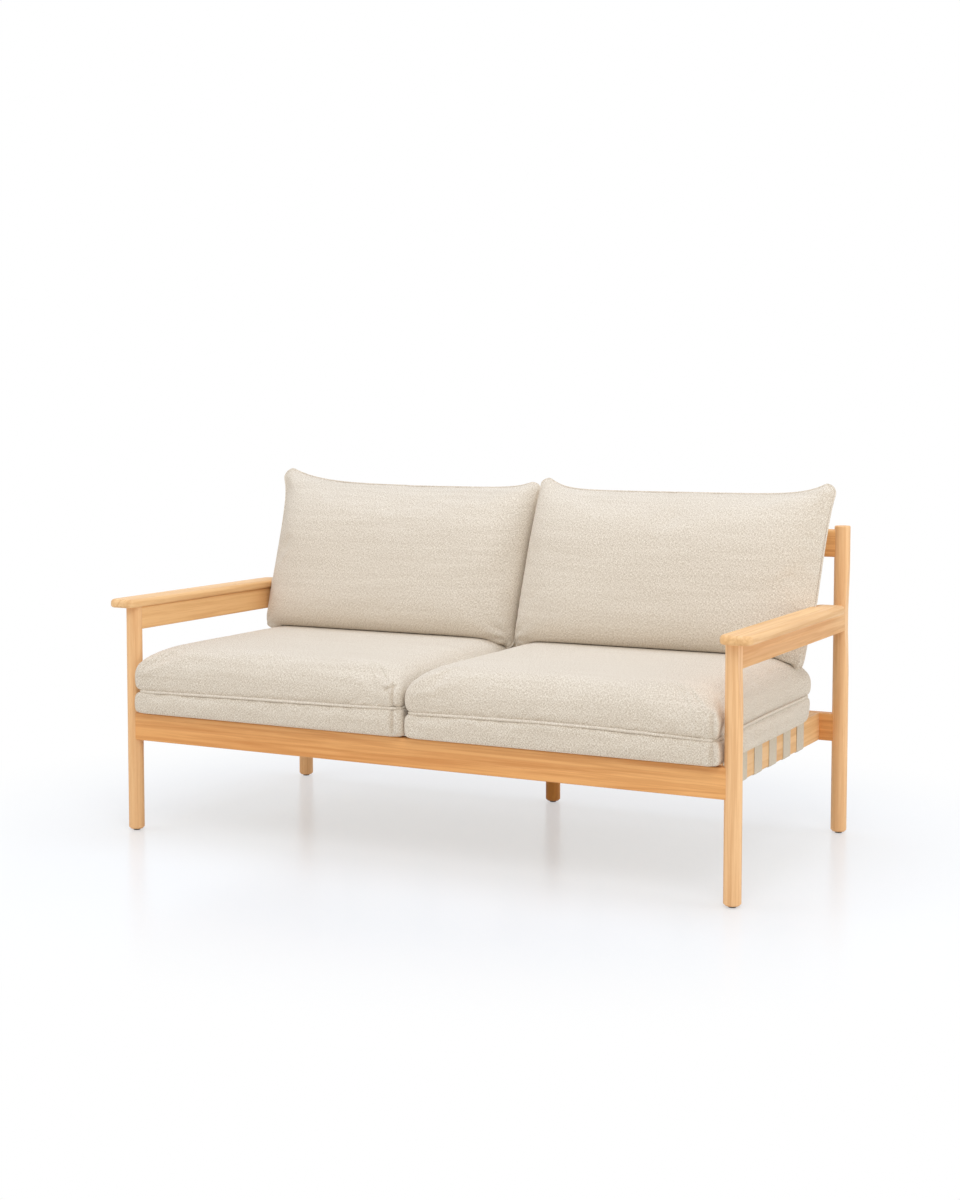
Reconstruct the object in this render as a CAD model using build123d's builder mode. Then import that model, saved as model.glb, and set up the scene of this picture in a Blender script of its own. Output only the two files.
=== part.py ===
from build123d import *
import math
import os

os.makedirs("parts", exist_ok=True)

# Patio loveseat: round-post timber frame, webbing seat and back, four loose cushions.
# Millimetres. X runs left to right, +Y to the back, Z up from the floor.
# The origin is on the floor, under the middle of the frame.

# Corner posts
post_spacing_x = 1500.0
post_spacing_y = 744.0
post_diameter = 37.0
rear_post_top = 731.0
post_top_round = 3.0
leg_end_chamfer = 4.0

# Foot glides
glide_height = 4.0
glide_diameter = 17.0
glide_round = 1.5
glide_pin_diameter = 5.0
glide_pin_length = 18.0

# Seat rails, front and rear
rail_bottom = 220.0
rail_height = 65.0
rail_thickness = 28.0
rail_setback = 3.5
edge_round = 3.0

# Side rails, which carry the seat webbing
side_rail_inset = 46.5
side_rail_thickness = 24.0

# Centre rail, and the leg under the rear rail
centre_rail_thickness = 28.0
centre_rail_height = 36.0
centre_rail_lift = 22.0
centre_tenon_shoulder = 6.0
leg_tenon_diameter = 18.0
leg_tenon_length = 18.0

# Top rail of the back
top_rail_drop = 9.0
top_rail_height = 65.0
top_rail_thickness = 24.0
top_rail_front_offset = 13.0
top_rail_round = 8.0

# Arm rails and the armrests on them
arm_height = 536.0
arm_rail_height = 53.0
arm_rail_thickness = 30.0
arm_flat_offset = 12.5
flat_runout_below = 120.0
flat_runout_above = 118.0
armrest_thickness = 20.0
armrest_inner_reach = 23.0
armrest_outer_reach = 47.0
armrest_front_reach = 42.0
armrest_rear_setback = 117.0
armrest_corner_radius = 22.0
armrest_top_round = 9.0
armrest_bottom_round = 6.0

# Mortise and tenon joints
tenon_thickness = 12.0
tenon_shoulder = 12.0
tenon_past_axis = 6.0
stub_tenon_length = 14.0
tenon_fit = 0.1
mortise_end_gap = 0.8
cope_gap = 0.1

# Webbing
strap_width = 50.0
strap_thickness = 1.8
strap_bottom_tail = 20.0
strap_top_tail = 34.0
seat_strap_count = 6
seat_strap_front_gap = 51.0
seat_strap_rear_gap = 125.0
back_straps_per_seat = 3

# Screws
arm_screw_diameter = 4.5
arm_screw_head_diameter = 9.0
arm_screw_head_height = 3.0
arm_screw_recess_depth = 28.0
arm_screw_bite = 13.0
arm_screw_shares = (0.1, 0.5, 0.9)
strap_screw_diameter = 3.5
strap_screw_head_diameter = 14.0
strap_screw_head_height = 1.6
strap_screw_length = 15.0
screw_fit = 0.1
screw_tip_gap = 0.5
recess_clearance = 1.0

# Cushions
soft_gap = 0.3
cushion_centre_gap = 2.0
seat_side_clearance = 3.5
seat_front_overhang = 21.0
seat_cushion_depth = 640.0
seat_cushion_thickness = 158.0
seat_corner_radius = 15.0
seat_corner_growth_share = 0.6
seat_welt_radius = 3.0
seat_welt_sink = 1.5
back_side_clearance = 8.0
back_cushion_height = 452.0
back_cushion_thickness = 196.0
back_cushion_sink = 26.0
back_ear_flare = 32.0
back_top_draw = 40.0
back_side_draw = 4.0
back_bottom_draw = 10.0
back_lean = 20.8

# The seat cushion's band from the webbing up to the welt, as shares of its thickness:
# the levels of its sections, and how far each is drawn in
seat_band_level_shares = (0.0, 0.12, 0.25, 0.375)
seat_band_inset_shares = (0.07, 0.0, 0.0, 0.035)
seat_shoulder_share = 0.5
seat_crown_reach_share = 0.25
seat_crown_power = 0.8

# How far a back cushion's sides and corners run in from the seam to the flat of a face,
# as shares of half its thickness
back_side_reach_share = 1.4
back_side_power = 0.7
back_corner_reach_share = 1.65
back_corner_power = 1.7

# Sections from the edge of a cushion to the flat of its face
crown_steps = 6

# One overrun serves every cut
overrun = 5.0

# Places that follow from the sizes above
post_radius = post_diameter / 2
half_x = post_spacing_x / 2
depth = armrest_front_reach + post_spacing_y + post_radius
front_y = armrest_front_reach - depth / 2
rear_y = depth / 2 - post_radius
rail_top = rail_bottom + rail_height
front_rail_face = front_y - post_radius + rail_setback
front_rail_back = front_rail_face + rail_thickness
front_rail_middle = (front_rail_face + front_rail_back) / 2
rear_rail_back = rear_y + post_radius - rail_setback
rear_rail_face = rear_rail_back - rail_thickness
rear_rail_middle = (rear_rail_face + rear_rail_back) / 2
side_rail_face = half_x - side_rail_inset
side_rail_inner = side_rail_face - side_rail_thickness
side_rail_middle = (side_rail_face + side_rail_inner) / 2
centre_rail_bottom = rail_bottom + centre_rail_lift
centre_rail_top = centre_rail_bottom + centre_rail_height
top_rail_top = rear_post_top - top_rail_drop
top_rail_bottom = top_rail_top - top_rail_height
top_rail_face = rear_y - top_rail_front_offset
top_rail_back = top_rail_face + top_rail_thickness
top_rail_middle = (top_rail_face + top_rail_back) / 2
arm_rail_bottom = arm_height - arm_rail_height
arm_rail_outer = half_x + arm_flat_offset
arm_rail_inner = arm_rail_outer - arm_rail_thickness
arm_rail_middle = (arm_rail_outer + arm_rail_inner) / 2
armrest_front = front_y - armrest_front_reach
armrest_rear = rear_y - armrest_rear_setback
seat_bottom = rail_top + strap_thickness + soft_gap
seat_crown = seat_bottom + seat_cushion_thickness
seat_inner = cushion_centre_gap / 2
seat_outer = half_x - post_radius - seat_side_clearance
seat_front = front_rail_face - seat_front_overhang
back_outer = half_x - armrest_inner_reach - back_side_clearance

sides = {"left": -1, "right": 1}


def save(piece, name):
    piece.label = name
    export_step(piece, f"parts/{name}.step")


def block(low, high, mode=Mode.ADD):
    """A box between two opposite corners."""
    with Locations(tuple((a + b) / 2 for a, b in zip(low, high))):
        Box(*[abs(b - a) for a, b in zip(low, high)], mode=mode)


def patch(low, high, mode=Mode.ADD):
    """A rectangle between two opposite corners of a sketch."""
    with Locations(tuple((a + b) / 2 for a, b in zip(low, high))):
        Rectangle(*[abs(b - a) for a, b in zip(low, high)], mode=mode)


def rod(place, radius, length, mode=Mode.ADD, rotation=(0, 0, 0)):
    """A cylinder that starts at a place and runs up, or along the turned axis."""
    with Locations(Location(place, rotation)):
        Cylinder(radius, length, align=(Align.CENTER, Align.CENTER, Align.MIN), mode=mode)


# Corner posts

half_slot = tenon_thickness / 2 + tenon_fit


def rail_mortise(x, side, y, bottom, top):
    """The slot in a post for a rail that comes from the middle of the seat."""
    block((x + side * (tenon_past_axis + mortise_end_gap), y - half_slot,
           bottom + tenon_shoulder - tenon_fit),
          (x - side * post_diameter, y + half_slot, top - tenon_shoulder + tenon_fit),
          Mode.SUBTRACT)


def corner_post(side, y, top, rail_middle, inward):
    """inward is +1 where the arm rail lies behind the post and -1 where it lies in front."""
    x = side * half_x
    flat = half_x + arm_flat_offset
    rim = half_x + post_radius
    outline = [(rim + overrun, arm_rail_bottom - flat_runout_below),
               (rim, arm_rail_bottom - flat_runout_below), (flat, arm_rail_bottom)]
    if top > arm_height:
        outline += [(flat, arm_height), (rim, arm_height + flat_runout_above),
                    (rim + overrun, arm_height + flat_runout_above)]
    else:
        outline += [(flat, top + overrun), (rim + overrun, top + overrun)]
    with BuildPart() as post:
        rod((x, y, glide_height), post_radius, top - glide_height)
        chamfer(post.edges().group_by(Axis.Z)[0], leg_end_chamfer)
        if top > arm_height:
            fillet(post.edges().group_by(Axis.Z)[-1], post_top_round)
        with BuildSketch(Plane.XZ.offset(-y)):
            with BuildLine():
                Polyline(*[(side * across, up) for across, up in outline], close=True)
            make_face()
        extrude(amount=post_diameter, both=True, mode=Mode.SUBTRACT)
        rod((x, y, glide_height - overrun), glide_pin_diameter / 2 + screw_fit,
            overrun + glide_pin_length + mortise_end_gap, Mode.SUBTRACT)
        rail_mortise(x, side, rail_middle, rail_bottom, rail_top)
        if top > arm_height:
            rail_mortise(x, side, top_rail_middle, top_rail_bottom, top_rail_top)
        block((side * arm_rail_middle - half_slot,
               y - inward * (tenon_past_axis + mortise_end_gap),
               arm_rail_bottom + tenon_shoulder - tenon_fit),
              (side * arm_rail_middle + half_slot, y + inward * post_diameter,
               arm_height - tenon_shoulder + tenon_fit), Mode.SUBTRACT)
    return post.part


for name, side in sides.items():
    save(corner_post(side, front_y, arm_height, front_rail_middle, 1), f"post_front_{name}")
    save(corner_post(side, rear_y, rear_post_top, rear_rail_middle, -1), f"post_rear_{name}")


# The leg under the rear rail, and the glides of all five legs

with BuildPart() as leg_rear_centre:
    rod((0, rear_rail_middle, glide_height), post_radius, rail_bottom - glide_height)
    chamfer(leg_rear_centre.edges().group_by(Axis.Z)[0], leg_end_chamfer)
    rod((0, rear_rail_middle, rail_bottom), leg_tenon_diameter / 2, leg_tenon_length)
    rod((0, rear_rail_middle, glide_height - overrun), glide_pin_diameter / 2 + screw_fit,
        overrun + glide_pin_length + mortise_end_gap, Mode.SUBTRACT)
save(leg_rear_centre.part, "leg_rear_centre")

feet = [(side * half_x, y) for side in sides.values() for y in (front_y, rear_y)]
feet.append((0, rear_rail_middle))
with BuildPart() as foot_glides:
    with BuildSketch():
        with Locations(*feet):
            Circle(glide_diameter / 2)
    extrude(amount=glide_height)
    fillet(foot_glides.edges().group_by(Axis.Z)[0], glide_round)
    with BuildSketch(Plane.XY.offset(glide_height)):
        with Locations(*feet):
            Circle(glide_pin_diameter / 2)
    extrude(amount=glide_pin_length)
save(foot_glides.part, "foot_glides")


# Where the straps and the screws sit

seat_run = rear_rail_face - front_rail_back
seat_strap_pitch = (seat_run - seat_strap_front_gap - seat_strap_rear_gap - strap_width) / (
    seat_strap_count - 1)
seat_strap_ys = [front_rail_back + seat_strap_front_gap + strap_width / 2
                 + seat_strap_pitch * index for index in range(seat_strap_count)]
back_strap_pitch = (back_outer - seat_inner) / back_straps_per_seat
right_strap_xs = [seat_inner + back_strap_pitch * (index + 1 / 2)
                  for index in range(back_straps_per_seat)]
back_strap_xs = sorted([-x for x in right_strap_xs] + right_strap_xs)

strap_hole = strap_screw_diameter / 2 + screw_fit
strap_pilot_depth = strap_screw_length - strap_thickness + screw_tip_gap
seat_tail_x = side_rail_face - strap_bottom_tail / 2
rear_tail_y = rear_rail_face + strap_bottom_tail / 2
top_tail_z = top_rail_top - (top_rail_round + strap_top_tail) / 2

arm_screw_start = front_y + post_radius
arm_screw_ys = [arm_screw_start + share * (armrest_rear - arm_screw_start)
                for share in arm_screw_shares]
arm_screw_seat = arm_rail_bottom + arm_screw_recess_depth
arm_screw_hole = arm_screw_diameter / 2 + screw_fit


# Rails from post to post

def cross_rail(face, back, bottom, top, y, top_round):
    """A rail between two posts at depth y, its ends hollowed to the round of the posts."""
    middle = (face + back) / 2
    with BuildPart() as rail:
        block((-half_x, face, bottom), (half_x, back, top))
        fillet(rail.edges().filter_by(Axis.X).group_by(Axis.Z)[0], edge_round)
        fillet(rail.edges().filter_by(Axis.X).group_by(Axis.Z)[-1], top_round)
        for side in sides.values():
            rod((side * half_x, y, bottom - overrun), post_radius + cope_gap,
                top - bottom + 2 * overrun, Mode.SUBTRACT)
            block((side * (half_x - post_diameter), middle - tenon_thickness / 2,
                   bottom + tenon_shoulder),
                  (side * (half_x + tenon_past_axis), middle + tenon_thickness / 2,
                   top - tenon_shoulder))
    return rail.part


def stub_mortises(face, into):
    """The slots for the side rails and the centre rail; into is the way the tenons point."""
    for x in (-side_rail_middle, side_rail_middle):
        block((x - half_slot, face - into * overrun, rail_bottom + tenon_shoulder - tenon_fit),
              (x + half_slot, face + into * (stub_tenon_length + mortise_end_gap),
               rail_top - tenon_shoulder + tenon_fit), Mode.SUBTRACT)
    block((-half_slot, face - into * overrun,
           centre_rail_bottom + centre_tenon_shoulder - tenon_fit),
          (half_slot, face + into * (stub_tenon_length + mortise_end_gap),
           centre_rail_top - centre_tenon_shoulder + tenon_fit), Mode.SUBTRACT)


front_blank = cross_rail(front_rail_face, front_rail_back, rail_bottom, rail_top, front_y,
                         edge_round)
with BuildPart() as rail_front:
    add(front_blank)
    stub_mortises(front_rail_back, -1)
save(rail_front.part, "rail_front")

rear_blank = cross_rail(rear_rail_face, rear_rail_back, rail_bottom, rail_top, rear_y,
                        edge_round)
with BuildPart() as rail_rear:
    add(rear_blank)
    stub_mortises(rear_rail_face, 1)
    rod((0, rear_rail_middle, rail_bottom - overrun), leg_tenon_diameter / 2 + tenon_fit,
        overrun + leg_tenon_length + mortise_end_gap, Mode.SUBTRACT)
    for x in back_strap_xs:
        rod((x, rear_tail_y, rail_bottom - overrun), strap_hole,
            overrun + strap_pilot_depth, Mode.SUBTRACT)
save(rail_rear.part, "rail_rear")

top_blank = cross_rail(top_rail_face, top_rail_back, top_rail_bottom, top_rail_top, rear_y,
                       top_rail_round)
with BuildPart() as rail_top_back:
    add(top_blank)
    for x in back_strap_xs:
        rod((x, top_rail_back + overrun, top_tail_z), strap_hole,
            overrun + strap_pilot_depth, Mode.SUBTRACT, (90, 0, 0))
save(rail_top_back.part, "rail_top")


# Rails from front to back

for name, side in sides.items():
    with BuildPart() as rail_side:
        block((side * side_rail_inner, front_rail_back, rail_bottom),
              (side * side_rail_face, rear_rail_face, rail_top))
        fillet(rail_side.edges().filter_by(Axis.Y), edge_round)
        block((side * side_rail_middle - tenon_thickness / 2,
               front_rail_back - stub_tenon_length, rail_bottom + tenon_shoulder),
              (side * side_rail_middle + tenon_thickness / 2,
               rear_rail_face + stub_tenon_length, rail_top - tenon_shoulder))
        for y in seat_strap_ys:
            rod((side * seat_tail_x, y, rail_bottom - overrun), strap_hole,
                overrun + strap_pilot_depth, Mode.SUBTRACT)
    save(rail_side.part, f"rail_side_{name}")

with BuildPart() as rail_centre:
    block((-centre_rail_thickness / 2, front_rail_back, centre_rail_bottom),
          (centre_rail_thickness / 2, rear_rail_face, centre_rail_top))
    fillet(rail_centre.edges().filter_by(Axis.Y), edge_round)
    block((-tenon_thickness / 2, front_rail_back - stub_tenon_length,
           centre_rail_bottom + centre_tenon_shoulder),
          (tenon_thickness / 2, rear_rail_face + stub_tenon_length,
           centre_rail_top - centre_tenon_shoulder))
save(rail_centre.part, "rail_centre")


# Arm rails and armrests

for name, side in sides.items():
    with BuildPart() as arm_rail:
        block((side * arm_rail_inner, front_y, arm_rail_bottom),
              (side * arm_rail_outer, rear_y, arm_height))
        fillet(arm_rail.edges().filter_by(Axis.Y), edge_round)
        for y in (front_y, rear_y):
            rod((side * half_x, y, arm_rail_bottom - overrun), post_radius + cope_gap,
                arm_rail_height + 2 * overrun, Mode.SUBTRACT)
        block((side * arm_rail_middle - tenon_thickness / 2, front_y - tenon_past_axis,
               arm_rail_bottom + tenon_shoulder),
              (side * arm_rail_middle + tenon_thickness / 2, rear_y + tenon_past_axis,
               arm_height - tenon_shoulder))
        for y in arm_screw_ys:
            rod((side * arm_rail_middle, y, arm_rail_bottom - overrun), arm_screw_hole,
                arm_rail_height + 2 * overrun, Mode.SUBTRACT)
            rod((side * arm_rail_middle, y, arm_rail_bottom - overrun),
                arm_screw_head_diameter / 2 + recess_clearance,
                overrun + arm_screw_recess_depth, Mode.SUBTRACT)
    save(arm_rail.part, f"arm_rail_{name}")

    with BuildPart() as armrest:
        with BuildSketch(Plane.XY.offset(arm_height)):
            with Locations((side * (half_x + (armrest_outer_reach - armrest_inner_reach) / 2),
                            (armrest_rear + armrest_front) / 2)):
                RectangleRounded(armrest_outer_reach + armrest_inner_reach,
                                 armrest_rear - armrest_front, armrest_corner_radius)
        extrude(amount=armrest_thickness)
        fillet(armrest.edges().group_by(Axis.Z)[-1], armrest_top_round)
        fillet(armrest.edges().group_by(Axis.Z)[0], armrest_bottom_round)
        for y in arm_screw_ys:
            rod((side * arm_rail_middle, y, arm_height - overrun), arm_screw_hole,
                overrun + arm_screw_bite + screw_tip_gap, Mode.SUBTRACT)
    save(armrest.part, f"armrest_{name}")

with BuildPart() as arm_screws:
    for side in sides.values():
        for y in arm_screw_ys:
            rod((side * arm_rail_middle, y, arm_screw_seat - arm_screw_head_height),
                arm_screw_head_diameter / 2, arm_screw_head_height)
            rod((side * arm_rail_middle, y, arm_screw_seat), arm_screw_diameter / 2,
                arm_height + arm_screw_bite - arm_screw_seat)
save(arm_screws.part, "arm_screws")


# Webbing

for index, y in enumerate(seat_strap_ys):
    with BuildPart() as seat_strap:
        with BuildSketch(Plane.XZ.offset(-y)):
            with Locations((0, (rail_bottom + rail_top) / 2)):
                RectangleRounded(2 * (side_rail_face + strap_thickness),
                                 rail_height + 2 * strap_thickness,
                                 edge_round + strap_thickness)
                RectangleRounded(2 * side_rail_face, rail_height, edge_round,
                                 mode=Mode.SUBTRACT)
            patch((strap_bottom_tail - side_rail_face, rail_bottom - strap_thickness - overrun),
                  (side_rail_face - strap_bottom_tail, rail_bottom + overrun), Mode.SUBTRACT)
        extrude(amount=strap_width / 2, both=True)
        for side in sides.values():
            rod((side * seat_tail_x, y, rail_bottom - overrun), strap_hole, 2 * overrun,
                Mode.SUBTRACT)
    save(seat_strap.part, f"seat_strap_{index + 1}")

back_strap_face = top_rail_face - strap_thickness
for index, x in enumerate(back_strap_xs):
    with BuildPart() as back_strap:
        with BuildSketch(Plane.YZ.offset(x)):
            with Locations((top_rail_middle, (top_rail_bottom + top_rail_top) / 2)):
                RectangleRounded(top_rail_thickness + 2 * strap_thickness,
                                 top_rail_height + 2 * strap_thickness,
                                 top_rail_round + strap_thickness)
                RectangleRounded(top_rail_thickness, top_rail_height, top_rail_round,
                                 mode=Mode.SUBTRACT)
            patch((back_strap_face - overrun, top_rail_bottom - strap_thickness - overrun),
                  (top_rail_back + strap_thickness + overrun, top_rail_top - strap_top_tail),
                  Mode.SUBTRACT)
            with Locations((rear_rail_middle, (rail_bottom + rail_top) / 2)):
                RectangleRounded(rail_thickness + 2 * strap_thickness,
                                 rail_height + 2 * strap_thickness,
                                 edge_round + strap_thickness)
                RectangleRounded(rail_thickness, rail_height, edge_round, mode=Mode.SUBTRACT)
            patch((rear_rail_face, rail_bottom + edge_round),
                  (rear_rail_back + strap_thickness + overrun,
                   rail_top + strap_thickness + overrun), Mode.SUBTRACT)
            patch((rear_rail_face + strap_bottom_tail, rail_bottom - strap_thickness - overrun),
                  (rear_rail_back + strap_thickness + overrun, rail_bottom + overrun),
                  Mode.SUBTRACT)
            patch((back_strap_face, (rail_bottom + rail_top) / 2),
                  (top_rail_face, top_rail_top - strap_top_tail))
        extrude(amount=strap_width / 2, both=True)
        rod((x, rear_tail_y, rail_bottom - overrun), strap_hole, 2 * overrun, Mode.SUBTRACT)
        rod((x, top_rail_back + overrun, top_tail_z), strap_hole, 2 * overrun,
            Mode.SUBTRACT, (90, 0, 0))
    save(back_strap.part, f"back_strap_{index + 1}")

with BuildPart() as strap_screws:
    under = rail_bottom - strap_thickness
    tails = [(side * seat_tail_x, y) for side in sides.values() for y in seat_strap_ys]
    tails += [(x, rear_tail_y) for x in back_strap_xs]
    for x, y in tails:
        rod((x, y, under - strap_screw_head_height), strap_screw_head_diameter / 2,
            strap_screw_head_height)
        rod((x, y, under), strap_screw_diameter / 2, strap_screw_length)
    behind = top_rail_back + strap_thickness
    for x in back_strap_xs:
        rod((x, behind + strap_screw_head_height, top_tail_z), strap_screw_head_diameter / 2,
            strap_screw_head_height, Mode.ADD, (90, 0, 0))
        rod((x, behind, top_tail_z), strap_screw_diameter / 2, strap_screw_length, Mode.ADD,
            (90, 0, 0))
save(strap_screws.part, "strap_screws")


# The crown of a cushion: how far it has risen, and how far the edge still lies ahead

crown_angles = [math.pi / 2 * step / crown_steps for step in range(crown_steps + 1)]
crown_rises = [math.sin(angle) for angle in crown_angles]
crown_remains = [max(math.cos(angle), 0.0) for angle in crown_angles]


# Seat cushions: a sewn band, a crowned top and a welt between them

seat_plan_middle = ((seat_inner + seat_outer) / 2, seat_front + seat_cushion_depth / 2)


def seat_sections(levels):
    """The plans of the right seat cushion, each with its height as a share and its inset."""
    sections = []
    for level, inset in levels:
        with BuildSketch(Plane.XY.offset(seat_bottom + level * seat_cushion_thickness)) as plan:
            with Locations(seat_plan_middle):
                RectangleRounded(seat_outer - seat_inner - 2 * inset,
                                 seat_cushion_depth - 2 * inset,
                                 seat_corner_radius + seat_corner_growth_share * inset)
        sections.append(plan.sketch)
    return sections


welt_level = seat_bottom + seat_band_level_shares[-1] * seat_cushion_thickness
welt_inset = (seat_band_inset_shares[-1] * seat_cushion_thickness
              - seat_welt_radius + seat_welt_sink)

seat_band = [(level, share * seat_cushion_thickness)
             for level, share in zip(seat_band_level_shares, seat_band_inset_shares)]
seat_crown_reach = seat_crown_reach_share * seat_cushion_depth
seat_top = [(seat_shoulder_share + (1 - seat_shoulder_share) * rise,
             seat_crown_reach * (1 - remain ** seat_crown_power))
            for rise, remain in zip(crown_rises, crown_remains)]

with BuildPart() as seat_cushion:
    loft(seat_sections(seat_band))
    loft(seat_sections([seat_band[-1], seat_top[0]]))
    loft(seat_sections(seat_top))
    with BuildLine(Plane.XY.offset(welt_level)) as welt:
        FilletPolyline((seat_inner + welt_inset, seat_front + welt_inset),
                       (seat_outer - welt_inset, seat_front + welt_inset),
                       (seat_outer - welt_inset, seat_front + seat_cushion_depth - welt_inset),
                       (seat_inner + welt_inset, seat_front + seat_cushion_depth - welt_inset),
                       radius=seat_corner_radius + welt_inset, close=True)
    with BuildSketch(Plane(origin=welt.line @ 0, z_dir=welt.line % 0)):
        Circle(seat_welt_radius)
    sweep(path=welt.wires()[0])

for name, side in sides.items():
    cushion = seat_cushion.part
    save(cushion if side > 0 else mirror(cushion, about=Plane.YZ), f"seat_cushion_{name}")


# Back cushions: two crowned faces sewn at a knife edge, flattened where they sit

half_back = back_cushion_thickness / 2
lean = Plane.XZ.rotated((-back_lean, 0, 0))


def back_sections(direction):
    """The layers of the right back cushion from the seam to its front (+1) or its back (-1)."""
    sections = []
    bottom = -back_cushion_sink
    top = back_cushion_height - back_cushion_sink
    for layer, remain in zip(crown_rises, crown_remains):
        corner = back_corner_reach_share * (1 - remain ** back_corner_power) * half_back
        drawn = back_side_reach_share * (1 - remain ** back_side_power) * half_back
        corners = [(seat_inner + corner, bottom + corner),
                   (back_outer - corner, bottom + corner),
                   (back_outer + back_ear_flare - corner, top - corner),
                   (seat_inner + corner, top - corner)]
        middle_x = (seat_inner + back_outer) / 2
        middle_z = (bottom + top) / 2
        middles = [(middle_x, bottom + back_bottom_draw + drawn),
                   (back_outer + back_ear_flare / 2 - back_side_draw - drawn, middle_z),
                   (middle_x, top - back_top_draw - drawn),
                   (seat_inner + back_side_draw + drawn, middle_z)]
        with BuildSketch(lean.offset(direction * layer * half_back)) as outline:
            with BuildLine():
                for index, middle in enumerate(middles):
                    ThreePointArc(corners[index], middle, corners[(index + 1) % len(corners)])
            make_face()
        sections.append(outline.sketch)
    return sections


with BuildPart() as pillow:
    loft(back_sections(1))
    loft(back_sections(-1))

settled = pillow.part.moved(Location(
    (0, back_strap_face - soft_gap - pillow.part.bounding_box().max.Y, seat_crown)))
seat_line = seat_crown + soft_gap
with BuildPart() as back_cushion:
    add(settled)
    block((-half_x, -depth, seat_bottom), (2 * half_x, depth, seat_line), Mode.SUBTRACT)

for name, side in sides.items():
    cushion = back_cushion.part
    save(cushion if side > 0 else mirror(cushion, about=Plane.YZ), f"back_cushion_{name}")
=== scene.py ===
import math
import bpy
import numpy as np
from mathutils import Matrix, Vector


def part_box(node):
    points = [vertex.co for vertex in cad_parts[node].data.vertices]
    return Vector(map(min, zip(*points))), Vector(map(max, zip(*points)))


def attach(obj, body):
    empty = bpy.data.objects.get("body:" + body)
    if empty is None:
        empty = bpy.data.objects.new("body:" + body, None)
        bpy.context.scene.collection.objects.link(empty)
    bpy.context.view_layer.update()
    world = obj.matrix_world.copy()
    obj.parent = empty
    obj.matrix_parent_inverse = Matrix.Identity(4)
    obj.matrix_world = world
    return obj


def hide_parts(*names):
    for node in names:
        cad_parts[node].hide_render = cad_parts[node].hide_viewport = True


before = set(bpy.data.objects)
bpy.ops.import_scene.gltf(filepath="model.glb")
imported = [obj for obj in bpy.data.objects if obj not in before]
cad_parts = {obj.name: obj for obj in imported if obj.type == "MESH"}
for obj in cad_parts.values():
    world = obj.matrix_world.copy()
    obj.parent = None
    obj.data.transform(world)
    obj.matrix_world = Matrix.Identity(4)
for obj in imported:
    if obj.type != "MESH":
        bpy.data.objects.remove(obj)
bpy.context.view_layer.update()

# Places and sizes in metres, in the frame of the CAD model.
# A cushion's inner and outer sides are distances from the middle of the loveseat.
SEAT = dict(inner=0.001, outer=0.728, front=-0.39625, depth=0.64, bottom=0.2871)
BACK_LEAN = math.radians(20.8)
BACK_FOOT_Y, BACK_FOOT_Z = 0.1669, 0.4451


# Nodes of materials

# How sharply a pattern changes over from one face direction to the next
BLEND_SHARPNESS = 6.0


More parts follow.
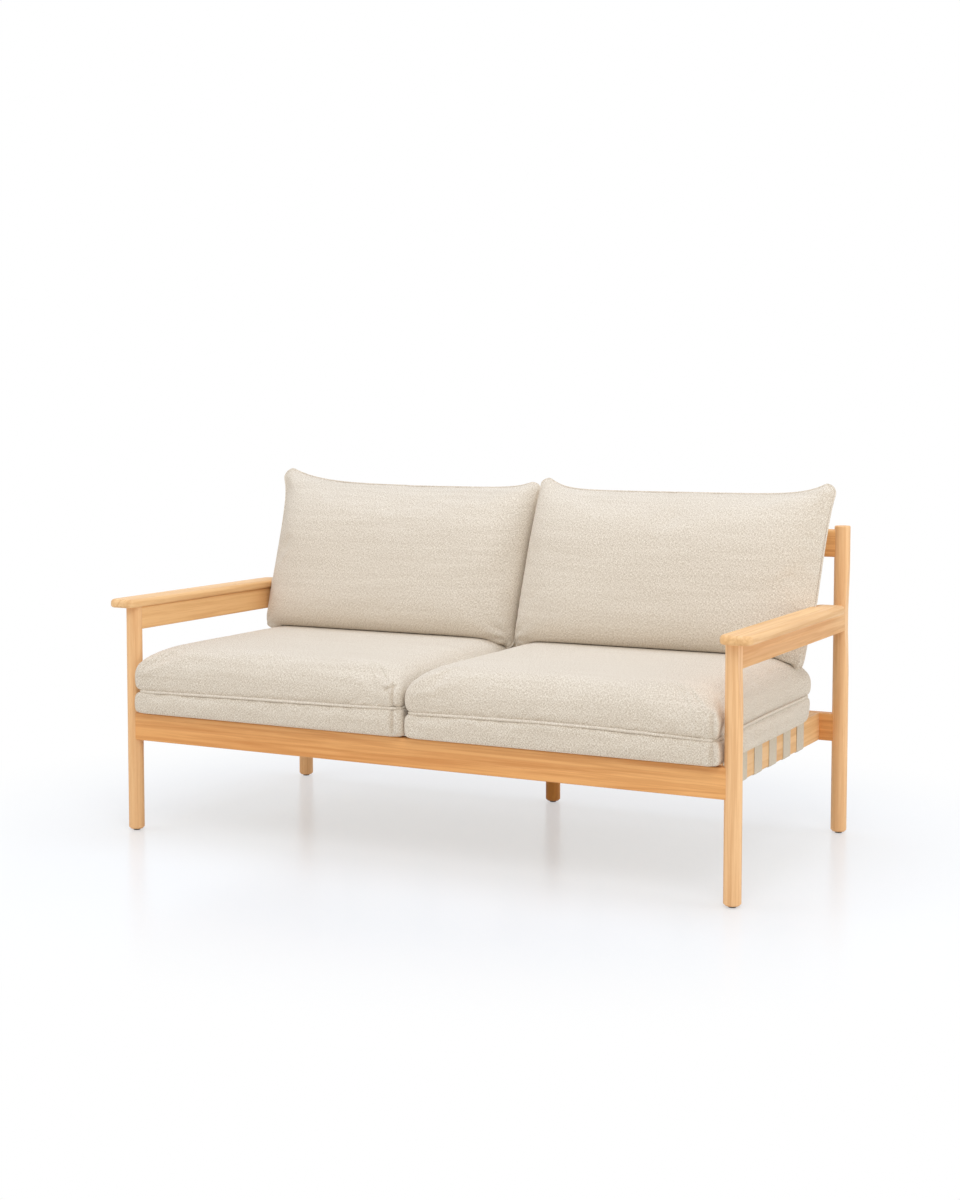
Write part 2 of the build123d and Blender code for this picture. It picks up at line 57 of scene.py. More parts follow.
class Nodes:
    """A material's node tree, with short calls for making and linking nodes."""

    def __init__(self, name):
        self.material = bpy.data.materials.new(name)
        self.material.use_nodes = True
        self.tree = self.material.node_tree
        self.shader = self.tree.nodes["Principled BSDF"]

    def node(self, kind, **settings):
        n = self.tree.nodes.new(kind)
        for key, value in settings.items():
            setattr(n, key, value)
        return n

    def link(self, source, target):
        self.tree.links.new(source, target)

    def feed(self, target, value):
        if isinstance(value, bpy.types.NodeSocket):
            self.link(value, target)
        else:
            target.default_value = value

    def math(self, operation, a, b=0.0, c=None, clamp=False):
        n = self.node("ShaderNodeMath", operation=operation, use_clamp=clamp)
        self.feed(n.inputs[0], a)
        self.feed(n.inputs[1], b)
        if c is not None:
            self.feed(n.inputs[2], c)
        return n.outputs[0]

    def coords(self):
        return self.node("ShaderNodeTexCoord").outputs["Object"]

    def mapping(self, vector, scale, location=(0, 0, 0)):
        n = self.node("ShaderNodeMapping")
        self.link(vector, n.inputs["Vector"])
        n.inputs["Scale"].default_value = scale
        n.inputs["Location"].default_value = location
        return n.outputs[0]

    def noise(self, vector, scale, detail=3.0, rough=0.55, distortion=0.0):
        n = self.node("ShaderNodeTexNoise")
        self.link(vector, n.inputs["Vector"])
        n.inputs["Scale"].default_value = scale
        n.inputs["Detail"].default_value = detail
        n.inputs["Roughness"].default_value = rough
        n.inputs["Distortion"].default_value = distortion
        return n.outputs["Fac"]

    def ramp(self, value, stops):
        n = self.node("ShaderNodeValToRGB")
        n.color_ramp.interpolation = "EASE"
        while len(n.color_ramp.elements) < len(stops):
            n.color_ramp.elements.new(0.5)
        for element, (place, colour) in zip(n.color_ramp.elements, stops):
            element.position = place
            element.color = (*colour, 1.0)
        self.link(value, n.inputs["Fac"])
        return n.outputs["Color"]

    def mix(self, factor, a, b):
        n = self.node("ShaderNodeMix", data_type="RGBA", blend_type="MIX")
        self.feed(n.inputs[0], factor)
        for socket, value in ((n.inputs[6], a), (n.inputs[7], b)):
            if isinstance(value, tuple):
                value = (*value, 1.0)
            self.feed(socket, value)
        return n.outputs[2]

    def bump(self, height, strength, distance):
        n = self.node("ShaderNodeBump")
        n.inputs["Strength"].default_value = strength
        n.inputs["Distance"].default_value = distance
        self.link(height, n.inputs["Height"])
        return n.outputs["Normal"]

    def triplanar(self, make):
        """make(a, b) for the three pairs of axes, mixed by which way the surface faces."""
        place = self.node("ShaderNodeSeparateXYZ")
        self.link(self.coords(), place.inputs[0])
        facing = self.node("ShaderNodeSeparateXYZ")
        self.link(self.node("ShaderNodeTexCoord").outputs["Normal"], facing.inputs[0])
        x, y, z = place.outputs
        total, weights = None, []
        for axis in range(3):
            weight = self.math("POWER", self.math("ABSOLUTE", facing.outputs[axis]),
                               BLEND_SHARPNESS)
            weights.append(weight)
            total = weight if total is None else self.math("ADD", total, weight)
        result = None
        for weight, value in zip(weights, (make(y, z), make(x, z), make(x, y))):
            share = self.math("MULTIPLY", self.math("DIVIDE", weight, total), value)
            result = share if result is None else self.math("ADD", result, share)
        return result


def srgb(r, g, b):
    """A colour of 0 to 255 per channel as linear shares."""
    def linear(c):
        c /= 255
        return c / 12.92 if c <= 0.04045 else ((c + 0.055) / 1.055) ** 2.4
    return (linear(r), linear(g), linear(b))


BLACK, WHITE = (0.0, 0.0, 0.0), (1.0, 1.0, 1.0)

# Wood: how often its fibres and its growth rings change across and along the grain, per metre,
# the rings' slow wave and the patches of colour as shares of that, and how strongly the rings'
# figure and the fibres' streaks tint it
FIBRES_ACROSS, FIBRES_ALONG = 140.0, 3.2
RINGS_ACROSS, RINGS_ALONG = 16.0, 0.45
WAVE_SHARE, WAVE_PLACE = 0.35, (3.1, 1.7, 0.4)
PATCH_SHARE, PATCH_PLACE = 0.3, (7.3, 2.2, 5.1)
RING_COUNT = 34.0
RING_SHARPNESS = 2.2
FIGURE_TINT = 0.40
STREAK_TINT = 0.38
SMOOTH_WOOD, ROUGH_WOOD = (0.42, 0.42, 0.42), (0.56, 0.56, 0.56)


def wood(name, grain, pale, deep, streaks):
    """Light oiled hardwood whose fibres run along one axis: 0 is X, 1 is Y, 2 is Z."""
    m = Nodes(name)
    coords = m.coords()
    fine = [FIBRES_ACROSS] * 3
    fine[grain] = FIBRES_ALONG
    broad = [RINGS_ACROSS] * 3
    broad[grain] = RINGS_ALONG
    wave = m.noise(m.mapping(coords, [s * WAVE_SHARE for s in broad], WAVE_PLACE), 1.0, 2.0)
    rings = m.noise(m.mapping(coords, broad), 1.6, 3.0, 0.5, 0.35)
    figure = m.math("SINE", m.math("MULTIPLY", m.math("ADD", rings, wave), RING_COUNT))
    figure = m.math("MULTIPLY_ADD", figure, 0.5, 0.5)
    figure = m.math("POWER", figure, RING_SHARPNESS)
    fibres = m.noise(m.mapping(coords, fine), 1.0, 5.0, 0.7)
    patches = m.noise(m.mapping(coords, [s * PATCH_SHARE for s in broad], PATCH_PLACE),
                      1.2, 2.0)
    base = m.ramp(patches, [(0.3, deep), (0.7, pale)])
    colour = m.mix(m.math("MULTIPLY", figure, FIGURE_TINT), base, streaks)
    streak = m.ramp(fibres, [(0.44, BLACK), (0.62, WHITE)])
    colour = m.mix(m.math("MULTIPLY", streak, STREAK_TINT), colour, streaks)
    m.link(colour, m.shader.inputs["Base Color"])
    m.link(m.ramp(fibres, [(0.3, SMOOTH_WOOD), (0.7, ROUGH_WOOD)]), m.shader.inputs["Roughness"])
    m.shader.inputs["Specular IOR Level"].default_value = 0.35
    m.link(m.bump(fibres, 0.12, 0.0006), m.shader.inputs["Normal"])
    return m.material


# Fabric: its threads along and across, its slubs and its regular weave, per metre, how strongly
# each shows, and the contrast and balance of its light and dark threads
THREADS_ALONG, THREADS_ACROSS = 240.0, 900.0
SLUBS_ALONG, SLUBS_ACROSS = 4.0, 75.0
WEAVE_TURNS = 2100.0
GRAIN_SCALE = 1000.0
CLOUD_SCALE = 7.0
THREAD_SHARE, SLUB_SHARE, WEAVE_SHARE = 0.5, 0.08, 0.035
GRAIN_SHARE, CLOUD_SHARE = 0.35, 0.12
THREAD_CONTRAST, THREAD_BALANCE = 6.8, 4.41


def fabric(name, light, dark):
    """Thick plain weave: fine threads cross, with slubs, faint bands and clouds of colour."""
    m = Nodes(name)
    coords = m.coords()

    def threads(a, b):
        def lines(along, across):
            place = m.node("ShaderNodeCombineXYZ")
            m.link(m.math("MULTIPLY", along, THREADS_ALONG), place.inputs[0])
            m.link(m.math("MULTIPLY", across, THREADS_ACROSS), place.inputs[1])
            return m.noise(place.outputs[0], 1.0, 1.0, 0.5)
        bands = m.node("ShaderNodeCombineXYZ")
        m.link(m.math("MULTIPLY", a, SLUBS_ALONG), bands.inputs[0])
        m.link(m.math("MULTIPLY", b, SLUBS_ACROSS), bands.inputs[1])
        crossed = m.math("ADD", lines(a, b), lines(b, a))
        slubs = m.math("MULTIPLY", m.noise(bands.outputs[0], 1.0, 2.0, 0.5), SLUB_SHARE)
        weave = m.math("MULTIPLY", m.math("SINE", m.math("MULTIPLY", a, WEAVE_TURNS)),
                       m.math("SINE", m.math("MULTIPLY", b, WEAVE_TURNS)))
        level = m.math("ADD", m.math("MULTIPLY", crossed, THREAD_SHARE), slubs)
        return m.math("ADD", level, m.math("MULTIPLY", weave, WEAVE_SHARE))

    woven = m.triplanar(threads)
    grain = m.noise(coords, GRAIN_SCALE, 1.0, 0.5)
    level = m.math("ADD", woven, m.math("MULTIPLY", grain, GRAIN_SHARE))
    shade = m.math("SUBTRACT", m.math("MULTIPLY", level, THREAD_CONTRAST), THREAD_BALANCE,
                   clamp=True)
    cloud = m.noise(coords, CLOUD_SCALE, 3.0, 0.6)
    colour = m.mix(shade, dark, light)
    colour = m.mix(m.math("MULTIPLY", cloud, CLOUD_SHARE), colour, dark)
    m.link(colour, m.shader.inputs["Base Color"])
    m.shader.inputs["Roughness"].default_value = 0.92
    m.shader.inputs["Specular IOR Level"].default_value = 0.12
    m.shader.inputs["Sheen Weight"].default_value = 0.15
    m.shader.inputs["Sheen Roughness"].default_value = 0.6
    m.link(m.bump(level, 0.5, 0.0010), m.shader.inputs["Normal"])
    return m.material


# Webbing: the turns of its ribs per metre, the scale of its specks and the ribs' strength
RIB_TURNS = 2600.0
SPECK_SCALE = 420.0
RIB_SHARE = 0.3


def webbing(name):
    """Flat woven webbing with fine ribs."""
    m = Nodes(name)
    coords = m.coords()

    def crossed_ribs(a, b):
        return m.math("MULTIPLY", m.math("SINE", m.math("MULTIPLY", a, RIB_TURNS)),
                      m.math("SINE", m.math("MULTIPLY", b, RIB_TURNS)))

    ribs = m.triplanar(crossed_ribs)
    speck = m.noise(coords, SPECK_SCALE, 2.0, 0.6)
    level = m.math("ADD", m.math("MULTIPLY", ribs, RIB_SHARE), speck)
    colour = m.ramp(level, [(0.2, srgb(194, 182, 163)), (0.8, srgb(229, 218, 200))])
    m.link(colour, m.shader.inputs["Base Color"])
    m.shader.inputs["Roughness"].default_value = 0.8
    m.shader.inputs["Specular IOR Level"].default_value = 0.2
    m.link(m.bump(level, 0.4, 0.0005), m.shader.inputs["Normal"])
    return m.material


def plain(name, dark, light, roughness, metallic=0.0):
    """A small part's plastic or metal, with a fine mottle."""
    m = Nodes(name)
    speck = m.noise(m.coords(), 300.0, 3.0)
    m.link(m.ramp(speck, [(0.3, dark), (0.7, light)]), m.shader.inputs["Base Color"])
    m.shader.inputs["Roughness"].default_value = roughness
    m.shader.inputs["Metallic"].default_value = metallic
    m.link(m.bump(speck, 0.15, 0.0003), m.shader.inputs["Normal"])
    return m.material


WOODS = [wood("wood_along_x", 0, srgb(248, 192, 127), srgb(238, 173, 105), srgb(200, 126, 62)),
         wood("wood_along_y", 1, srgb(245, 203, 150), srgb(236, 188, 130), srgb(212, 158, 100)),
         wood("wood_along_z", 2, srgb(251, 206, 154), srgb(242, 191, 135), srgb(216, 158, 102)),
         # The legs' wood is darker and more saturated than the other woods: painted shade,
         # standing in for the shade under the seat
         wood("wood_leg_painted_shade", 2, srgb(214, 148, 70), srgb(198, 128, 52), srgb(168, 100, 36)),
         wood("wood_arm_rail", 1, srgb(245, 198, 140), srgb(236, 182, 120), srgb(210, 150, 90))]
FABRIC = fabric("cushion_fabric", srgb(244, 236, 223), srgb(198, 184, 165))
PIPING = fabric("piping_fabric", srgb(244, 236, 223), srgb(206, 193, 175))
WEBBING = webbing("webbing_weave")
GLIDE = plain("glide_plastic", srgb(40, 38, 36), srgb(58, 55, 52), 0.5)
SCREW = plain("screw_zinc", srgb(150, 150, 148), srgb(185, 185, 182), 0.35, 1.0)

# Which of the woods a piece takes, by the start of its name
GRAIN = {"post": 2, "leg": 3, "rail_front": 0, "rail_rear": 0, "rail_top": 0, "rail_side": 1,
         "rail_centre": 1, "arm_rail": 4, "armrest": 1}


def node_object(name):
    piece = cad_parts[name]
    return piece if isinstance(piece, bpy.types.Object) else bpy.data.objects[piece]


def dress(name, material):
    piece = node_object(name)
    if not piece.material_slots:
        piece.data.materials.append(material)
    for place in piece.material_slots:
        place.material = material


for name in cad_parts:
    if "screw" in name:
        dress(name, SCREW)
    elif "glide" in name:
        dress(name, GLIDE)
    for start, grain in GRAIN.items():
        if name.startswith(start):
            dress(name, WOODS[grain])


# Meshes

TINY = 1e-9


def make_object(name, points, faces, material, body, smooth=True):
    """A piece of the scene that rides on a body."""
    mesh = bpy.data.meshes.new(name)
    mesh.from_pydata([tuple(p) for p in points], [], faces)
    mesh.update()
    if smooth:
        mesh.polygons.foreach_set("use_smooth", [True] * len(mesh.polygons))
    mesh.materials.append(material)
    piece = bpy.data.objects.new(name, mesh)
    bpy.context.scene.collection.objects.link(piece)
    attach(piece, body)
    return piece


def ring_positions(half_x, half_y, radius, shares_x, shares_y):
    """Points round a rounded rectangle, each side from the middle of one corner to the next."""
    widest = 0.98
    radius = min(radius, half_x * widest, half_y * widest)
    arc = math.pi / 4 * radius

    def along(half, share):
        """Place along a side and how far it has turned in at that share."""
        straight = 2 * (half - radius)
        run = share * (straight + 2 * arc)
        if run < arc:
            turn = math.pi / 4 - run / radius
            return -half + radius - radius * math.sin(turn), radius * (1 - math.cos(turn))
        if run > arc + straight:
            turn = (run - arc - straight) / radius
            return half - radius + radius * math.sin(turn), radius * (1 - math.cos(turn))
        return -half + radius + run - arc, 0.0

    points = []
    for share in shares_x[:-1]:
        place, inset = along(half_x, share)
        points.append((place, -half_y + inset))
    for share in shares_y[:-1]:
        place, inset = along(half_y, share)
        points.append((half_x - inset, place))
    for share in shares_x[:0:-1]:
        place, inset = along(half_x, share)
        points.append((place, half_y - inset))
    for share in shares_y[:0:-1]:
        place, inset = along(half_y, share)
        points.append((-half_x + inset, place))
    return np.array(points)


def grid_inside(ring, count_x, count_y):
    """A grid whose edge is the ring: the inside points are blended from the four sides."""
    grid = np.zeros((count_x + 1, count_y + 1, 2))
    front = ring[:count_x + 1]
    right = ring[count_x:count_x + count_y + 1]
    back = ring[count_x + count_y:2 * count_x + count_y + 1][::-1]
    left = np.vstack([ring[2 * count_x + count_y:], ring[:1]])[::-1]
    for i in range(count_x + 1):
        for j in range(count_y + 1):
            u, v = i / count_x, j / count_y
            grid[i, j] = ((1 - v) * front[i] + v * back[i] + (1 - u) * left[j] + u * right[j]
                          - (1 - u) * (1 - v) * front[0] - u * (1 - v) * front[-1]
                          - (1 - u) * v * back[0] - u * v * back[-1])
    return grid


def shares(count, low=None, high=None, steps=0):
    """Even shares from 0 to 1, with closer lines between two places."""
    places = [k / count for k in range(count + 1)]
    if steps:
        gap = 0.6 / count
        places = [p for p in places if p < low - gap or p > high + gap]
        places += [low + (high - low) * k / steps for k in range(steps + 1)]
    return sorted(places)


# Cloth simulation: its length in frames and the cloth's properties
FRAMES = 18
CLOTH_QUALITY = 5
CLOTH_MASS = 0.35
CLOTH_STIFFNESS = 22.0
CLOTH_SHEAR = 8.0
CLOTH_BENDING = 0.6
CLOTH_DAMPING = 2.0


def inflate(piece, pins, pressure, cap, shrink):
    """Puff a piece with a cloth simulation, its pinned points held. No point ends up farther
    from its start than the cap."""
    before = np.array([v.co[:] for v in piece.data.vertices])
    group = piece.vertex_groups.new(name="held")
    for index, weight in pins.items():
        group.add([int(index)], weight, "REPLACE")
    cloth = piece.modifiers.new("puff", "CLOTH")
    settings = cloth.settings
    settings.quality = CLOTH_QUALITY
    settings.mass = CLOTH_MASS
    settings.tension_stiffness = CLOTH_STIFFNESS
    settings.compression_stiffness = CLOTH_STIFFNESS
    settings.shear_stiffness = CLOTH_SHEAR
    settings.bending_stiffness = CLOTH_BENDING
    settings.air_damping = CLOTH_DAMPING
    settings.use_pressure = True
    settings.uniform_pressure_force = pressure
    settings.vertex_group_mass = group.name
    settings.pin_stiffness = 1.0
    settings.effector_weights.gravity = 0.0
    settings.shrink_min = shrink
    cloth.collision_settings.use_collision = False
    cloth.point_cache.frame_start = 1
    cloth.point_cache.frame_end = FRAMES
    scene = bpy.context.scene
    for step in range(1, FRAMES + 1):
        scene.frame_set(step)
    graph = bpy.context.evaluated_depsgraph_get()
    puffed = piece.evaluated_get(graph).to_mesh()
    after = np.array([v.co[:] for v in puffed.vertices])
    piece.evaluated_get(graph).to_mesh_clear()
    piece.modifiers.remove(cloth)
    piece.vertex_groups.remove(group)
    scene.frame_set(1)
    move = after - before
    size = np.linalg.norm(move, axis=1, keepdims=True)
    move *= cap * np.tanh(size / cap) / np.maximum(size, TINY)
    return before + move


def set_points(piece, points):
    piece.data.vertices.foreach_set("co", np.asarray(points, dtype=float).ravel())
    piece.data.update()


def subdivide(piece):
    modifier = piece.modifiers.new("fine", "SUBSURF")
    modifier.levels = modifier.render_levels = 1


def piping(name, path, radius, body):
    """A closed round piping along a loop of points."""
    sides, steep = 8, 0.25
    count = len(path)
    points, faces = [], []
    for index in range(count):
        way = path[(index + 1) % count] - path[index - 1]
        way = way / max(np.linalg.norm(way), TINY)
        side = np.cross(way, (0.0, 0.0, 1.0))
        if np.linalg.norm(side) < steep:
            side = np.cross(way, (0.0, 1.0, 0.0))
        side = side / np.linalg.norm(side)
        up = np.cross(side, way)
        for k in range(sides):
            angle = 2 * math.pi * k / sides
            points.append(path[index] + radius * (math.cos(angle) * side + math.sin(angle) * up))
    for index in range(count):
        following = (index + 1) % count
        for k in range(sides):
            nearby = (k + 1) % sides
            faces.append((index * sides + k, following * sides + k,
                          following * sides + nearby, index * sides + nearby))
    subdivide(make_object(name, points, faces, PIPING, body))


# Seat cushions

# The reader of each puffed seat cover's height, by side, for the back cushions to rest on
SEAT_TOPS = {}

SEAT_PROFILE = [
    # height above the webbing and inset from the outer size
    (0.000, 0.020), (0.000, 0.010), (0.002, 0.0045), (0.007, 0.0015), (0.014, 0.0005),
    (0.024, 0.000), (0.034, 0.000), (0.043, 0.0004), (0.050, 0.0014), (0.0540, 0.003),
    (0.0567, 0.006), (0.0595, 0.0100), (0.0623, 0.006), (0.0652, 0.003), (0.0695, 0.0012),
    (0.076, 0.0002), (0.085, 0.000), (0.094, 0.0004), (0.1025, 0.0020), (0.1105, 0.0050),
    (0.118, 0.0095), (0.1248, 0.0155), (0.1308, 0.0230), (0.1360, 0.0320), (0.1405, 0.0430),
    (0.1443, 0.0560), (0.1475, 0.0710), (0.1502, 0.0880), (0.1524, 0.1070), (0.1540, 0.1280),
]
WELT = 11
WELT_HEIGHT = 0.0595
WELT_PROUD, WELT_RADIUS = 0.0044, 0.0034
WELT_WAVE_REACH = 0.035
SEAT_CORNER_RADIUS, SEAT_CORNER_GROWTH = 0.015, 0.55
SEAT_DOME = 0.0038
PANEL_HEIGHT = 0.112
SEAT_CELLS_ACROSS, SEAT_CELLS_DEEP = 60, 54
SEAM_CELLS, SEAM_CELLS_BEFORE, SEAM_CELLS_AFTER = 24, 0.060, 0.014
PUFF_PRESSURE, PUFF_CAP, PUFF_SHRINK = 3.2, 0.011, -0.015

# The simulation's movement is calmed near the upright seam's top and at the rear outer corner,
# and the flat underside is held
SEAM_TOP, CALM_REACH, CALM_SHARE = 0.118, 0.050, 0.8
REAR_REACH, REAR_CALM_SHARE = 0.080, 0.7
FLAT_HEIGHT = 0.0005
BAND_HEIGHT, BAND_DRAW_X, BAND_DRAW_Y = 0.060, 0.004, 0.009

# The swelling of the outer front corner past the post, and the left one's lift
SWELL_X, SWELL_RUN = 0.690, 0.030
FRONT_SWELL, FRONT_ROOM, POST_FADE = 0.006, 0.0065, 0.006
LIFT, LIFT_BASE, LIFT_RUN = 0.006, 0.360, 0.040
LIFT_X, LIFT_REACH_X, LIFT_Y, LIFT_REACH_Y = 0.715, 0.034, -0.385, 0.036

# Where a seat cushion stops: beside its twin, the arm rail, the front and the back, and how
# softly its crown comes up to the back cushion
POST_FRONT = -0.3800
SEAT_MIN_X, SEAT_MAX_X = 0.0006, 0.7309
SEAT_MIN_Y, SEAT_MAX_Y = -0.4015, 0.2480
SEAT_SOFT_TOP, SEAT_TOP_ROOM = 0.4390, 0.0085


def finer(profile, low, high):
    """The same profile with a line between each two that lie between low and high."""
    lines = []
    for (z0, in0), (z1, in1) in zip(profile, profile[1:]):
        lines.append((z0, in0))
        if z0 >= low and z1 <= high:
            bow = 0.03 * (in1 - in0)
            lines.append(((z0 + z1) / 2, (in0 + in1) / 2 - bow))
    return lines + [profile[-1]]


SEAT_PROFILE = finer(SEAT_PROFILE, 0.060, 0.137)


def bell(distance, reach):
    """1 at no distance, falling away softly over the reach."""
    return np.exp(-(distance / reach) ** 2)


def sew_corner(points, x, gather):
    """A sewn upright seam in the front, gathered in a pleat where it meets the top panel."""
    front_depth, fade_height = 0.030, 0.008
    groove_depth, groove_reach = 0.0078, 0.0030
    swell_depth, swell_place, swell_reach = 0.0020, 0.008, 0.005
    dimple_depth, dimple_place, dimple_reach = 0.0080, 0.002, 0.005
    pleat_length, pleat_rise, pleat_slope = 0.026, 0.004, 0.20
    ridge_depth, ridge_reach = 0.0045, 0.0042
    crease_depth, crease_place, crease_reach = 0.0065, 0.0075, 0.0034
    high = SEAT["bottom"] + PANEL_HEIGHT
    face = points[:, 1] < SEAT["front"] + front_depth
    near = points[face]
    along = near[:, 0] - x
    up = near[:, 2]
    fade = np.clip((high - up) / fade_height, 0, 1)
    groove = groove_depth * bell(along, groove_reach) * fade
    puffed = swell_depth * bell(np.abs(along) - swell_place, swell_reach) * fade
    dimple = (dimple_depth * bell(along + dimple_place, dimple_reach)
              * bell(up - high, dimple_reach))
    run = np.clip(-along / pleat_length, 0, 1)
    fold = np.where(along < 0, np.sin(math.pi * run), 0)
    line = up - (high + pleat_rise + pleat_slope * along)
    ridge = ridge_depth * fold * bell(line, ridge_reach)
    crease = crease_depth * fold * bell(line + crease_place, crease_reach)
    near[:, 1] += groove - puffed + gather * (dimple - ridge + crease)
    points[face] = near


def seat_cushion(side_name, side, seam, gather, waves):
    """One seat cushion: a band, a welt and a crowned top, puffed by simulation.
    seam is the place of the front's upright seam as a share of the width, gather how deep its
    pleat is, and waves the welt's rise along the front, as shares of the width and metres."""
    width = SEAT["outer"] - SEAT["inner"]
    half_x, half_y = width / 2, SEAT["depth"] / 2
    middle = np.array([side * (SEAT["inner"] + half_x), SEAT["front"] + half_y])
    shares_x = shares(SEAT_CELLS_ACROSS, seam - SEAM_CELLS_BEFORE, seam + SEAM_CELLS_AFTER,
                      SEAM_CELLS)
    shares_y = shares(SEAT_CELLS_DEEP)
    count_x, count_y = len(shares_x) - 1, len(shares_y) - 1
    loop = 2 * (count_x + count_y)
    points, faces = [], []
    rings = []
    for height, inset in SEAT_PROFILE:
        radius = SEAT_CORNER_RADIUS + SEAT_CORNER_GROWTH * inset
        ring = ring_positions(half_x - inset, half_y - inset, radius, shares_x, shares_y)
        rings.append(len(points))
        lift = math.exp(-((height - WELT_HEIGHT) / WELT_WAVE_REACH) ** 2)
        for x, y in ring:
            wave = np.interp(x / width + 0.5, [w[0] for w in waves], [w[1] for w in waves])
            along = max(0.0, -y / half_y)
            points.append((middle[0] + x, middle[1] + y,
                           SEAT["bottom"] + height + lift * wave * along))
    for low, high in zip(rings, rings[1:]):
        for k in range(loop):
            after = (k + 1) % loop
            faces.append((low + k, low + after, high + after, high + k))
    for start, height, inset, upward in ((rings[0], *SEAT_PROFILE[0], False),
                                         (rings[-1], *SEAT_PROFILE[-1], True)):
        ring = np.array([points[start + k][:2] for k in range(loop)])
        grid = grid_inside(ring, count_x, count_y)
        index = np.zeros((count_x + 1, count_y + 1), dtype=int)
        for k in range(loop):
            if k < count_x:
                place = (k, 0)
            elif k < count_x + count_y:
                place = (count_x, k - count_x)
            elif k < 2 * count_x + count_y:
                place = (2 * count_x + count_y - k, count_y)
            else:
                place = (0, loop - k)
            index[place] = start + k
        for i in range(1, count_x):
            for j in range(1, count_y):
                index[i, j] = len(points)
                u, v = 2 * i / count_x - 1, 2 * j / count_y - 1
                dome = SEAT_DOME * (1 - u * u) * (1 - v * v) if upward else 0.0
                points.append((*grid[i, j], SEAT["bottom"] + height + dome))
        for i in range(count_x):
            for j in range(count_y):
                quad = (index[i, j], index[i + 1, j], index[i + 1, j + 1], index[i, j + 1])
                faces.append(quad if upward else quad[::-1])
    body = f"seat_cushion_{side_name}"
    piece = make_object(f"seat_cover_{side_name}", points, faces, FABRIC, body)
    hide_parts(body)
    points = np.array(points)
    seam_x = middle[0] + (seam - 0.5) * width
    away = np.hypot(points[:, 0] - side * SEAT["outer"],
                    points[:, 1] - (SEAT["front"] + SEAT["depth"]))
    rear = bell(away, REAR_REACH)
    pins = {k: 1.0 for k in range(rings[WELT], rings[WELT] + loop)}
    pins.update({k: 1.0 for k in range(rings[0], rings[3])})
    low_inside = np.where(points[:, 2] < SEAT["bottom"] + FLAT_HEIGHT)[0]
    pins.update({int(k): 1.0 for k in low_inside})
    start = points
    moved = inflate(piece, pins, PUFF_PRESSURE, PUFF_CAP, PUFF_SHRINK)
    corner = (seam_x, SEAT["front"], SEAT["bottom"] + SEAM_TOP)
    calm = CALM_SHARE * bell(np.linalg.norm(start - corner, axis=1), CALM_REACH)[:, None]
    calm_rear = REAR_CALM_SHARE * rear[:, None]
    points = start + (1 - calm) * (1 - calm_rear) * (moved - start)
    # The band is drawn in below the welt at the rear outer corner
    drawn = rear * np.clip(1 - (points[:, 2] - SEAT["bottom"]) / BAND_HEIGHT, 0, 1)
    points[:, 0] -= side * BAND_DRAW_X * drawn
    points[:, 1] -= BAND_DRAW_Y * drawn
    sew_corner(points, seam_x, gather)
    # The front swells a little past the post, and the rest keeps clear of the frame
    along = points[:, 0] * side
    past_post = np.clip((POST_FRONT - points[:, 1]) / POST_FADE, 0, 1)
    outer = np.clip((along - SWELL_X) / SWELL_RUN, 0, 1) * past_post
    points[:, 0] = side * np.clip(along + FRONT_SWELL * outer, SEAT_MIN_X,
                                  SEAT_MAX_X + FRONT_ROOM * past_post)
    points[:, 1] = np.clip(points[:, 1], SEAT_MIN_Y, SEAT_MAX_Y)
    if side < 0:
        # The left cushion's outer front corner stands a little higher
        points[:, 2] += (LIFT * np.clip((points[:, 2] - LIFT_BASE) / LIFT_RUN, 0, 1)
                         * bell(along - LIFT_X, LIFT_REACH_X)
                         * bell(points[:, 1] - LIFT_Y, LIFT_REACH_Y))
    above = np.maximum(points[:, 2] - SEAT_SOFT_TOP, 0)
    points[:, 2] = (np.minimum(points[:, 2], SEAT_SOFT_TOP)
                    + SEAT_TOP_ROOM * np.tanh(above / SEAT_TOP_ROOM))
    points[:, 2] = np.maximum(points[:, 2], SEAT["bottom"])
    set_points(piece, points)
    subdivide(piece)
    SEAT_TOPS[side_name] = crown_map(points)
    welt = points[rings[WELT]:rings[WELT] + loop]
    centre = np.array([middle[0], middle[1], 0.0])
    outward = welt - centre
    outward[:, 2] = 0.0
    outward /= np.linalg.norm(outward, axis=1, keepdims=True)
    piping(f"seat_piping_{side_name}", welt + WELT_PROUD * outward, WELT_RADIUS, body)


# Back cushions, laid out on their slope: up it from the bottom, across it and out to the front

BACK_INNER, BACK_BOTTOM = 0.0022, -0.030
BACK_HALF_THICK = 0.098
BACK_CORNER = 0.026
BACK_CELLS_ACROSS, BACK_CELLS_UP = 84, 56
CROWDED_SHARE, EVEN_SHARE = 0.55, 0.45
TOP_SAG = 0.038
EAR_FLAT = 0.024
BOTTOM_BOW, BOTTOM_REACH = 0.006, 0.05
FLARE_REACH = 0.036
SIDE_DRAW = 0.002
INNER_EAR, INNER_EAR_REACH = 0.010, 0.020

# How fast the cushion fills out from its sides, top and bottom, and how blunt each edge is
SIDE_CROWN, INNER_BLUNT, OUTER_BLUNT = 4.6, 0.46, 0.74
TOP_CROWN, TOP_BLUNT = 2.5, 0.66
BOTTOM_CROWN, BOTTOM_BLUNT = 7.0, 0.50

# The simulation's movement is calmed near the cushion's twin and in its lower part
BACK_PRESSURE, BACK_CAP, BACK_SHRINK = 1.4, 0.006, -0.010
KEEP_X, LEAST_KEEP_X = 0.070, 0.15
KEEP_BASE, KEEP_RUN, LEAST_KEEP_Z = 0.480, 0.160, 0.05
BACK_PIPING_RADIUS = 0.0022

